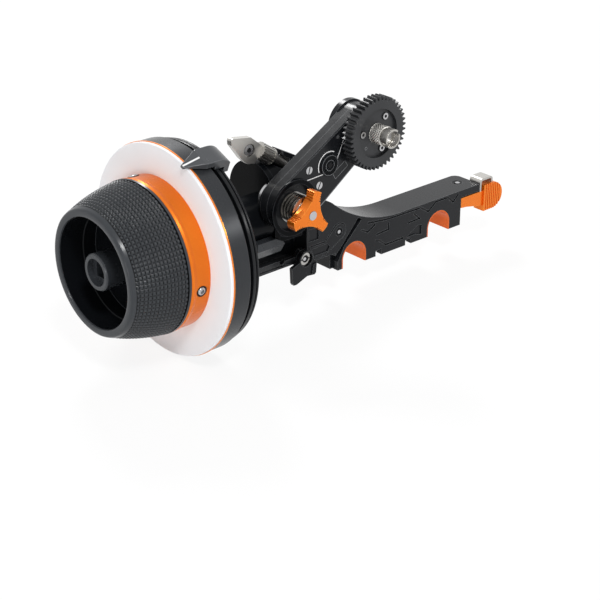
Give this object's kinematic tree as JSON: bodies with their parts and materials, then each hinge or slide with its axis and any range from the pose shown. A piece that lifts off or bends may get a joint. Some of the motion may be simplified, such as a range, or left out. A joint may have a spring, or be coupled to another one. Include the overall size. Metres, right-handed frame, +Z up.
{
  "type": "follow focus unit",
  "caption": "Follow focus: a large hand wheel with a white marking ring turns a geared swing arm and lens gear, on a bridge bar that clamps to two rods, with an eject lever.",
  "frame": {"origin": "midway between the two rod axes, at the middle of the bridge bar's depth", "axes": "+X along the bridge bar, away from the hand wheel; +Y along the rods, away from the gear side; +Z up"},
  "size_m": [0.2558, 0.1022, 0.109],
  "materials": {
    "black_anodised": "satin black anodised",
    "orange_anodised": "bright anodised",
    "white_ring": "matte",
    "stainless": "brushed",
    "bare_steel": "machined",
    "dark_gear": "moulded"
  },
  "bodies": {
    "bridge": {"bridge_bar": "black_anodised", "rod_liner_left": "orange_anodised", "rod_liner_right": "orange_anodised", "bar_pin_left": "bare_steel", "bar_pin_right": "bare_steel", "lock_plate": "black_anodised", "plate_screw": "bare_steel", "lock_screw": "bare_steel", "eject_pin": "bare_steel"},
    "rail_lock": {"lock_lever": "black_anodised"},
    "eject": {"eject_lever": "orange_anodised", "latch_strap": "stainless"},
    "gearbox": {"dovetail_rail": "black_anodised", "gearbox_body": "black_anodised", "gearbox_flange": "black_anodised", "neck_tube": "black_anodised", "dial_cover": "black_anodised", "bearing_front": "bare_steel", "bearing_rear": "bare_steel", "gear_case": "black_anodised", "pivot_stud": "bare_steel", "clamp_block": "black_anodised"},
    "tab": {"thumb_tab": "black_anodised"},
    "clamp": {"clamp_screw": "stainless", "clamp_handle": "stainless", "handle_screw": "bare_steel"},
    "index": {"index_ring": "black_anodised", "pointer": "black_anodised"},
    "wheel": {"hand_knob": "black_anodised", "crank_socket": "black_anodised", "knob_collar": "orange_anodised", "marking_ring": "white_ring", "ring_trim": "orange_anodised", "wheel_carrier": "black_anodised", "wheel_shaft": "bare_steel", "bevel_gear_axle": "bare_steel"},
    "cross": {"cross_shaft": "bare_steel", "bevel_gear_cross": "bare_steel", "cross_gear": "bare_steel"},
    "arm": {"arm_rear_cover": "black_anodised", "arm_front_cover": "black_anodised", "idler_pin_1": "bare_steel", "idler_pin_2": "bare_steel", "arm_screws": "bare_steel", "hub_ring": "black_anodised", "rear_cap": "black_anodised", "disc_springs": "bare_steel"},
    "pivot": {"pivot_gear": "bare_steel"},
    "idler_one": {"idler_gear_1": "bare_steel"},
    "idler_two": {"idler_gear_2": "bare_steel"},
    "output": {"output_gear": "bare_steel", "gear_hub": "dark_gear", "drive_gear": "dark_gear", "hub_screws": "bare_steel"},
    "nut": {"release_nut": "stainless"},
    "dial": {"turn_dial": "black_anodised"},
    "knob": {"tri_lobe_knob": "orange_anodised", "knob_insert": "bare_steel"}
  },
  "joints": [
    {"name": "gearbox_slide", "type": "slide", "parent": "bridge", "child": "gearbox", "axis": [1, 0, 0], "range_m": [-0.012, 0.0024]},
    {"name": "rail_lock_turn", "type": "hinge", "parent": "bridge", "child": "rail_lock", "pos_m": [-0.0643, -0.0106, 0.0097], "axis": [0, -1, 0], "range_deg": [0, 60]},
    {"name": "eject_press", "type": "hinge", "parent": "bridge", "child": "eject", "pos_m": [0.0529, 0.0003, 0.0085], "axis": [0, 0, 1], "range_deg": [0, 12], "stiffness_Nm_per_rad": 0.05},
    {"name": "tab_press", "type": "slide", "parent": "gearbox", "child": "tab", "axis": [0, 0, -1], "range_m": [0, 0.002], "stiffness_N_per_m": 150},
    {"name": "clamp_turn", "type": "hinge", "parent": "gearbox", "child": "clamp", "pos_m": [-0.076, 0.0025, 0.0625], "axis": [0.8231, 0, -0.5678], "range_deg": [-30, 110]},
    {"name": "pointer_turn", "type": "hinge", "parent": "gearbox", "child": "index", "pos_m": [-0.1255, 0.003, 0.0318], "axis": [1, 0, 0], "range_deg": [-150, 150]},
    {"name": "wheel_turn", "type": "hinge", "parent": "gearbox", "child": "wheel", "pos_m": [-0.14, 0.003, 0.0318], "axis": [1, 0, 0], "continuous": true},
    {"name": "cross_turn", "type": "hinge", "parent": "gearbox", "child": "cross", "pos_m": [-0.0725, -0.005, 0.0318], "axis": [0, -1, 0], "continuous": true},
    {"name": "arm_swing", "type": "hinge", "parent": "gearbox", "child": "arm", "pos_m": [-0.0787, -0.014, 0.0432], "axis": [0, -1, 0], "range_deg": [-32, 75]},
    {"name": "pivot_gear_turn", "type": "hinge", "parent": "arm", "child": "pivot", "pos_m": [-0.0787, -0.0137, 0.0432], "axis": [0, -1, 0], "continuous": true},
    {"name": "idler_one_turn", "type": "hinge", "parent": "arm", "child": "idler_one", "pos_m": [-0.06389, -0.0137, 0.05271], "axis": [0, -1, 0], "continuous": true},
    {"name": "idler_two_turn", "type": "hinge", "parent": "arm", "child": "idler_two", "pos_m": [-0.04908, -0.0137, 0.06222], "axis": [0, -1, 0], "continuous": true},
    {"name": "output_turn", "type": "hinge", "parent": "arm", "child": "output", "pos_m": [-0.03427, -0.0137, 0.07172], "axis": [0, -1, 0], "continuous": true},
    {"name": "nut_pull", "type": "slide", "parent": "output", "child": "nut", "axis": [0, -1, 0], "range_m": [0, 0.003], "stiffness_N_per_m": 150},
    {"name": "dial_turn", "type": "hinge", "parent": "arm", "child": "dial", "pos_m": [-0.05657, -0.0195, 0.05871], "axis": [0, -1, 0], "range_deg": [-60, 60]},
    {"name": "knob_turn", "type": "hinge", "parent": "gearbox", "child": "knob", "pos_m": [-0.0787, -0.03, 0.0432], "axis": [0, -1, 0], "range_deg": [-120, 120]}
  ],
  "couplings": [
    {"joint": "cross_turn", "follows": "wheel_turn", "ratio": 1},
    {"joint": "pivot_gear_turn", "follows": "wheel_turn", "ratio": -1},
    {"joint": "idler_one_turn", "follows": "wheel_turn", "ratio": 1},
    {"joint": "idler_two_turn", "follows": "wheel_turn", "ratio": -1},
    {"joint": "output_turn", "follows": "wheel_turn", "ratio": 1}
  ]
}
